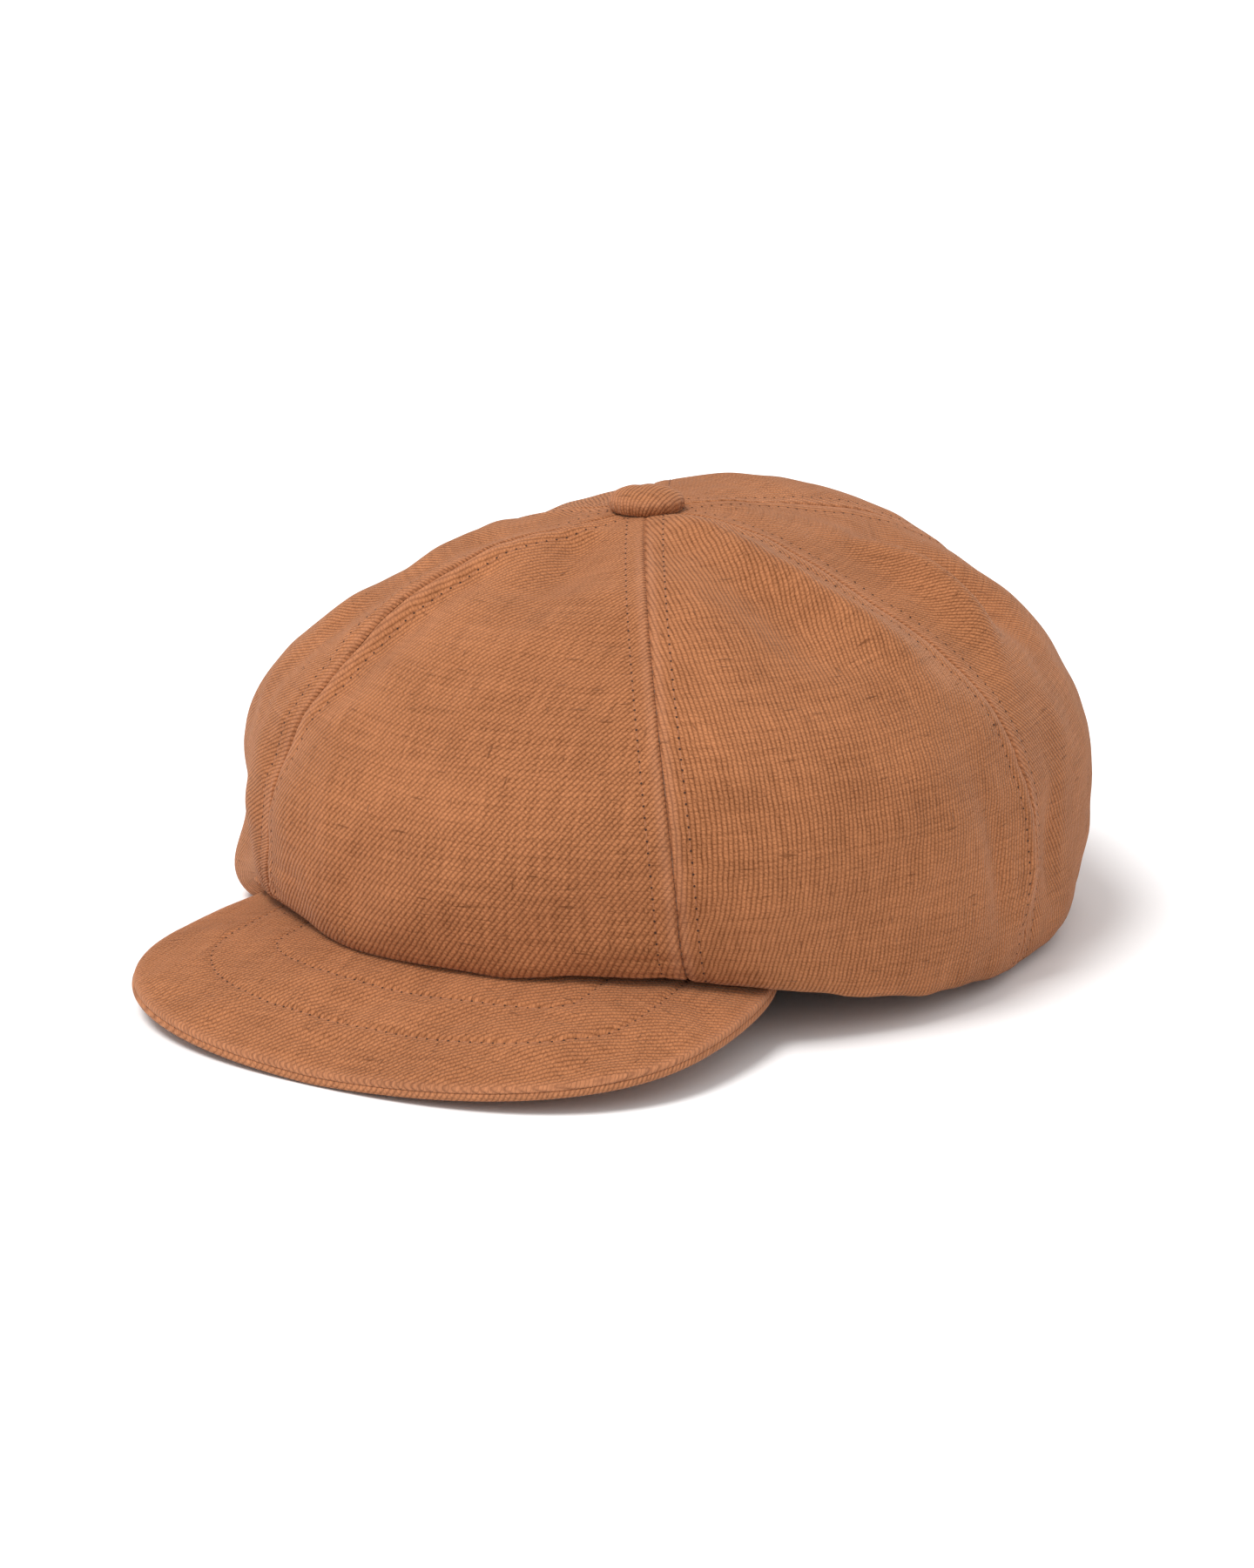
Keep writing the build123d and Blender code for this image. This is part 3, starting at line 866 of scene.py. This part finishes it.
def makeTape(seamAngle, node, t):
    theta = math.radians(seamAngle)
    us = [u for u in np.linspace(0.03, t["last"], 200)
          if np.hypot(*(crownBase(np.array(theta), np.array(u), crown, 0)[:2] - (0, axisY))) > t["start"]]
    sides = np.linspace(-1, 1, 13)
    verts = np.zeros((len(us), len(sides), 3))
    along = np.zeros(len(us))
    for i, u in enumerate(us):
        middle = crownBase(np.array(theta), np.array(u), crown, crown["puff"])
        r = np.hypot(middle[0], middle[1] - axisY)
        angles = theta + sides * math.asin(min(t["width"] / 2 / r, 0.9))
        step = 0.01
        here = crownBase(angles, np.full(len(sides), u), crown, crown["puff"])
        below = crownBase(angles, np.full(len(sides), u + step), crown, 0.0)
        plain = crownBase(angles, np.full(len(sides), u), crown, 0.0)
        beside = crownBase(angles + step, np.full(len(sides), u), crown, 0.0)
        normal = np.cross(below - plain, beside - plain)
        normal /= np.linalg.norm(normal, axis=1)[:, None]
        outward = plain - np.array([0, axisY, 50 * mm])
        normal *= np.sign((normal * outward).sum(1))[:, None]
        distance = np.abs(sides) * t["width"] / 2
        off = crownOffset(here, angles, np.full(len(sides), u), distance, crown)
        verts[i] = here + normal * (off * mm - t["depth"])[:, None]
        if i:
            along[i] = along[i - 1] + np.linalg.norm(verts[i, 6] - verts[i - 1, 6])
    flat = verts.reshape(-1, 3)
    piece = newPiece("seamTape_" + node, flat, gridFaces(len(us), len(sides)), navyTape)
    across = np.tile(sides * t["width"] / 2, len(us))
    writeCloth(piece, across, np.repeat(along, len(sides)), 45, np.zeros(len(flat)), seamAngle / 30)
    thicken(piece, t["thick"])
    finishPiece(piece, "seam_tape", "seam_tape_" + node)
    declareSheet(piece, t["width"] * 1.03, along[-1] * 1.03, "stretched", ["crown_panel_front"])


for seamAngle, node in tapeNodes.items():
    makeTape(seamAngle, node, tape)
print("seam tapes made")


button = {
    "turns": 144, "rings": 46, "tuck": 0.9 * mm, "dent": 0.55 * mm, "dentAngle": math.radians(35),
    "pleats": 22, "pleatDepth": 0.16 * mm, "domeShare": 0.62,
}


def makeButton(b):
    radius = (buttonHigh.x - buttonLow.x) / 2 + 0.3 * mm
    height = buttonHigh.z - buttonLow.z
    rim = height * 0.36
    rings, turns = b["rings"], b["turns"]
    theta = np.linspace(0, 2 * math.pi, turns, endpoint=False)
    verts, reach = [], []
    walked = 0.0
    last = None
    for i in range(rings):
        share = i / (rings - 1)
        if share < b["domeShare"]:                    # over the dome
            turn = share / b["domeShare"] * math.pi / 2
            r = radius * max(math.sin(turn), 0.004)
            z = rim + (height - rim) * math.cos(turn) ** 0.9
        else:                                         # round the rim and in under it
            turn = (share - b["domeShare"]) / 0.38 * math.radians(205)
            r = radius - b["tuck"] * 1.6 * (1 - math.cos(turn))
            z = rim - rim * math.sin(min(turn, math.pi / 2)) ** 0.8 + 0.05 * mm
            if turn > math.pi / 2:
                z = 0.05 * mm + 0.25 * mm * (turn - math.pi / 2)
        if last:
            walked += math.hypot(r - last[0], z - last[1])
        last = (r, z)
        x, y = r * np.sin(theta), -r * np.cos(theta)
        gather = b["pleatDepth"] * np.sin(theta * b["pleats"] + 1.3 * np.sin(3 * theta))
        gather = gather * min(share / b["domeShare"], 1.0) ** 4
        lineUp = x * math.cos(b["dentAngle"]) + y * math.sin(b["dentAngle"]) + 1.5 * mm
        dent = b["dent"] * np.exp(-((lineUp / (1.5 * mm)) ** 2)) * (1 - share) * min(share * 4, 1.0)
        grown = (r + gather) / max(r, 1e-9)
        verts.append(np.stack([x * grown, y * grown + axisY, buttonLow.z + z - dent], 1))
        reach.append(np.full(turns, walked))
    flat = np.concatenate(verts)
    faces = gridFaces(rings, turns, True)
    faces.append(tuple(reversed(range(turns))))
    piece = newPiece("buttonCover", flat, [tuple(reversed(f)) for f in faces], twillCloth)
    spoke = np.concatenate(reach)
    around = np.tile(theta, rings)
    # painted highlight round the button's rim
    ridgeHighlight = 0.25 * np.clip(1 - np.abs(spoke / radius - 1.05) * 4, 0, 1)
    writeCloth(piece, spoke * np.sin(around), spoke * np.cos(around), 84, ridgeHighlight, 12)
    finishPiece(piece, "twill", "button_cover")


makeButton(button)


# Parts out of sight keep their solids, with their own finishes
def cover(nodes, material):
    for node in nodes:
        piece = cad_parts[node]
        piece.data.materials.clear()
        piece.data.materials.append(material)


steel = smoothSolid("stampedSteel", (0.42, 0.42, 0.43), 0.38, 1.0, 0.6 * mm, 0.02 * mm)
boardLook = smoothSolid("brimBoard", (0.72, 0.71, 0.67), 0.55, 0.0, 1.5 * mm, 0.05 * mm)
buckram = smoothSolid("buckram", (0.62, 0.57, 0.47), 0.9, 0.0, 0.7 * mm, 0.15 * mm)
cover(["button_shell", "button_back_plate", "button_shank"], steel)
cover(["brim_board"], boardLook)
cover(["headband_stiffener", "top_stay_disc"], buckram)
cover(["shank_tie"], camelThread)
print("button and inner parts finished")


studio = {
    "azimuth": 32.3, "elevation": 15.7, "distance": 1.377, "lens": 104.1,
    "side": -5.8 * mm, "height": 44.9 * mm,
    "sky": 0.80, "keyStrength": 2.25, "keySpread": 28.0, "keyPlace": (-0.34, -0.60, 1.50),
}


def lookFrom(thing, place, target):
    thing.location = place
    thing.rotation_euler = (Vector(target) - Vector(place)).to_track_quat("-Z", "Y").to_euler()


def softSun(name, strength, spread, place):
    data = bpy.data.lights.new(name, "SUN")
    data.energy = strength
    data.angle = math.radians(spread)
    data.color = (1.0, 0.99, 0.975)
    lamp = bpy.data.objects.new(name, data)
    bpy.context.scene.collection.objects.link(lamp)
    lookFrom(lamp, place, (0, 0, 0))


def makeStudio(s):
    scene = bpy.context.scene
    a, e = math.radians(s["azimuth"]), math.radians(s["elevation"])
    right = Vector((math.cos(a), math.sin(a), 0))
    target = right * s["side"] + Vector((0, axisY, s["height"]))
    away = Vector((math.sin(a) * math.cos(e), -math.cos(a) * math.cos(e), math.sin(e)))
    data = bpy.data.cameras.new("camera")
    data.lens = s["lens"]
    data.sensor_width = 36.0
    camera = bpy.data.objects.new("camera", data)
    scene.collection.objects.link(camera)
    lookFrom(camera, target + away * s["distance"], target)
    scene.camera = camera
    softSun("key", s["keyStrength"], s["keySpread"], s["keyPlace"])
    world = bpy.data.worlds.new("paleRoom")
    world.use_nodes = True
    world.node_tree.nodes["Background"].inputs[0].default_value = (1.0, 1.0, 1.0, 1.0)
    world.node_tree.nodes["Background"].inputs[1].default_value = s["sky"]
    scene.world = world
    f = Finish("paleFloor")
    place = f.out("TexCoord", "Object")
    mottle = f.noise(place, 9.0, 2.0)
    f.set(Base_Color=f.mix(mottle, colour(0.955, 0.955, 0.965), colour(0.965, 0.965, 0.972)))
    f.set(Roughness=0.9, Specular_IOR_Level=0.1)
    size = 6.0
    floor = newPiece("floor", [(-size, -size, 0), (size, -size, 0), (size, size, 0), (-size, size, 0)],
                     [(0, 1, 2, 3)], f.material, False)
    scene.view_settings.view_transform = "Standard"


makeStudio(studio)
print("studio made")

bpy.context.view_layer.update()
